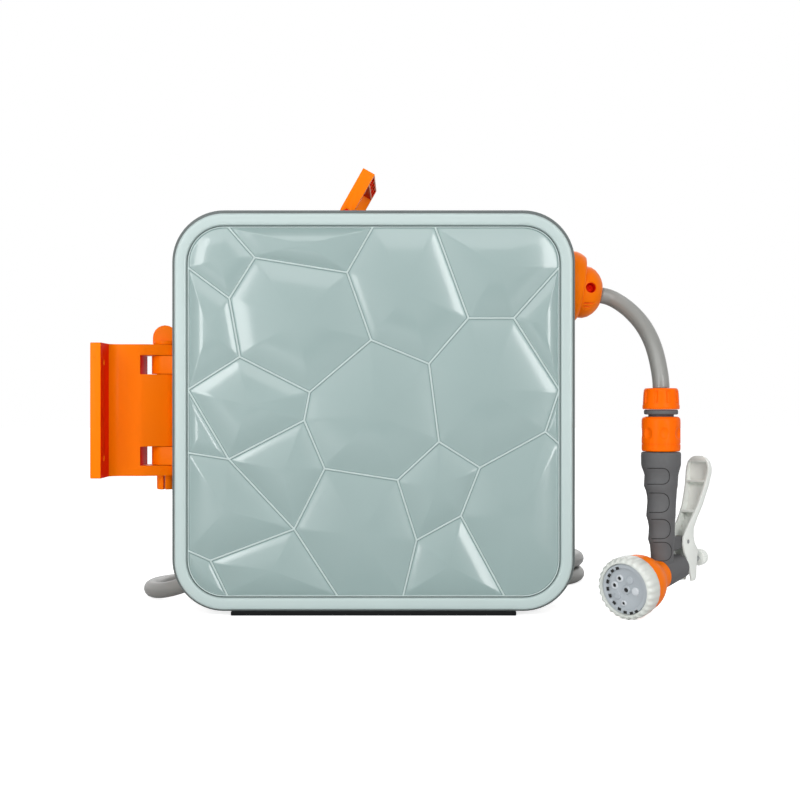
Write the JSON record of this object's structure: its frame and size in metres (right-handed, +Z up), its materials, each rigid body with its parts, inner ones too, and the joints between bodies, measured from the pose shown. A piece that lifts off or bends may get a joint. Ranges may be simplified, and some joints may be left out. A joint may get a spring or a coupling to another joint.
{
  "type": "retractable hose reel",
  "caption": "Square cased hose reel on a swivel wall bracket, with fold-down carry handle, outlet with hose stop, spray nozzle and coiled inlet hose.",
  "frame": {"origin": "middle of the base foot's underside", "axes": "+Z up, +X from the wall bracket to the hose outlet, +Y from the front cover to the case's back"},
  "size_m": [0.6403, 0.4819, 0.4525],
  "materials": {
    "pale_plastic": "pale blue-grey moulding, smooth",
    "grey_plastic": "mid grey moulding, fine grain",
    "black_plastic": "black moulding",
    "orange_plastic": "bright orange moulding",
    "hose_grey": "smooth grey hose",
    "grip_grey": "soft mid grey grip",
    "light_grey": "light grey moulding, low gloss",
    "face_grey": "grey moulding",
    "nylon": "natural white nylon",
    "rubber": "black rubber",
    "steel": "plain steel"
  },
  "bodies": {
    "case": {"rear_case": "grey_plastic", "front_cover": "pale_plastic", "base_foot": "black_plastic", "case_screw_1": "steel", "case_screw_2": "steel", "case_screw_3": "steel", "case_screw_4": "steel", "hinge_bracket": "orange_plastic", "handle_pin_front": "steel", "handle_pin_rear": "steel", "axle_post": "nylon", "axle_cap": "nylon", "axle_seal_front": "rubber", "axle_seal_rear": "rubber", "pawl_pin": "steel", "guide_frame": "nylon", "guide_rod": "steel", "guide_belt": "rubber", "hose_lead": "hose_grey", "hose_grommet": "rubber", "inlet_hose_inside": "hose_grey", "outlet_lip": "orange_plastic", "stop_half_front": "orange_plastic", "stop_half_rear": "orange_plastic", "stop_screw": "steel", "outlet_hose": "hose_grey", "nozzle_connector_nut": "orange_plastic", "nozzle_connector_body": "grey_plastic", "nozzle_body": "grip_grey", "nozzle_bell": "orange_plastic", "lever_pin": "steel", "inlet_hose": "hose_grey", "inlet_hose_coil": "hose_grey", "tap_connector_nut": "orange_plastic", "tap_connector_body": "grey_plastic"},
    "drum": {"drum_core": "black_plastic", "drum_flange_front": "black_plastic", "drum_flange_rear": "black_plastic", "hose_winding": "hose_grey", "hub_pipe": "black_plastic", "ratchet_wheel": "nylon", "spring_cassette": "black_plastic", "mainspring": "steel", "drum_pulley": "nylon"},
    "screw": {"guide_screw": "steel", "screw_pulley": "nylon"},
    "carriage": {"guide_carriage": "orange_plastic"},
    "roller_front": {"guide_roller_front": "nylon"},
    "roller_rear": {"guide_roller_rear": "nylon"},
    "pawl": {"pawl": "nylon"},
    "bracket": {"wall_bracket": "orange_plastic"},
    "pin": {"hinge_pin": "orange_plastic"},
    "handle": {"carry_handle": "orange_plastic"},
    "collar": {"nozzle_connector_collar": "orange_plastic"},
    "tap_collar": {"tap_connector_collar": "orange_plastic"},
    "spray_head": {"dial_ring": "light_grey", "spray_face": "face_grey"},
    "lever": {"trigger_lever": "light_grey"},
    "stem": {"valve_stem": "steel"},
    "knob": {"flow_knob": "light_grey"}
  },
  "joints": [
    {"name": "drum_spin", "type": "hinge", "parent": "case", "child": "drum", "pos_m": [0, 0, 0.2053], "axis": [0, 1, 0], "continuous": true},
    {"name": "screw_spin", "type": "hinge", "parent": "case", "child": "screw", "pos_m": [0.171, 0, 0.306], "axis": [0, 1, 0], "continuous": true},
    {"name": "carriage_slide", "type": "slide", "parent": "case", "child": "carriage", "axis": [0, 1, 0], "range_m": [-0.024, 0.028], "deforming": ["hose_lead"]},
    {"name": "roller_front_spin", "type": "hinge", "parent": "carriage", "child": "roller_front", "pos_m": [0.171, -0.0295, 0.33548], "axis": [0, 0, 1], "continuous": true},
    {"name": "roller_rear_spin", "type": "hinge", "parent": "carriage", "child": "roller_rear", "pos_m": [0.171, -0.0039, 0.33548], "axis": [0, 0, 1], "continuous": true},
    {"name": "pawl_swing", "type": "hinge", "parent": "case", "child": "pawl", "pos_m": [-0.10392, 0.042, 0.2653], "axis": [0, 1, 0], "range_deg": [-22, 10]},
    {"name": "bracket_swing", "type": "hinge", "parent": "case", "child": "bracket", "pos_m": [-0.2221, 0, 0.2054], "axis": [0, 0, 1], "range_deg": [-45, 45]},
    {"name": "hinge_pin_lift", "type": "slide", "parent": "case", "child": "pin", "axis": [0, 0, 1], "range_m": [0, 0.165]},
    {"name": "handle_fold", "type": "hinge", "parent": "case", "child": "handle", "pos_m": [-0.028, 0, 0.4085], "axis": [0, 1, 0], "range_deg": [-30, 60]},
    {"name": "collar_slide", "type": "slide", "parent": "case", "child": "collar", "axis": [0, 0, 1], "range_m": [0, 0.0015]},
    {"name": "tap_collar_slide", "type": "slide", "parent": "case", "child": "tap_collar", "axis": [1, 0, 0], "range_m": [0, 0.0015]},
    {"name": "spray_head_turn", "type": "hinge", "parent": "case", "child": "spray_head", "pos_m": [0.25689, -0.11036, 0.03304], "axis": [-0.6399, -0.7573, -0.1305], "continuous": true},
    {"name": "lever_squeeze", "type": "hinge", "parent": "case", "child": "lever", "pos_m": [0.31785, -0.03823, 0.07], "axis": [-0.7638, 0.6455, 0], "range_deg": [-18, 0]},
    {"name": "stem_slide", "type": "slide", "parent": "case", "child": "stem", "axis": [0.6399, 0.7573, 0.1305], "range_m": [0, 0.0063]},
    {"name": "flow_knob_turn", "type": "hinge", "parent": "stem", "child": "knob", "pos_m": [0.33643, -0.01623, 0.04927], "axis": [0.6399, 0.7573, 0.1305], "range_deg": [0, 270]}
  ],
  "couplings": [
    {"joint": "screw_spin", "follows": "drum_spin", "ratio": 1},
    {"joint": "stem_slide", "follows": "lever_squeeze", "m_per_rad": -0.02}
  ]
}
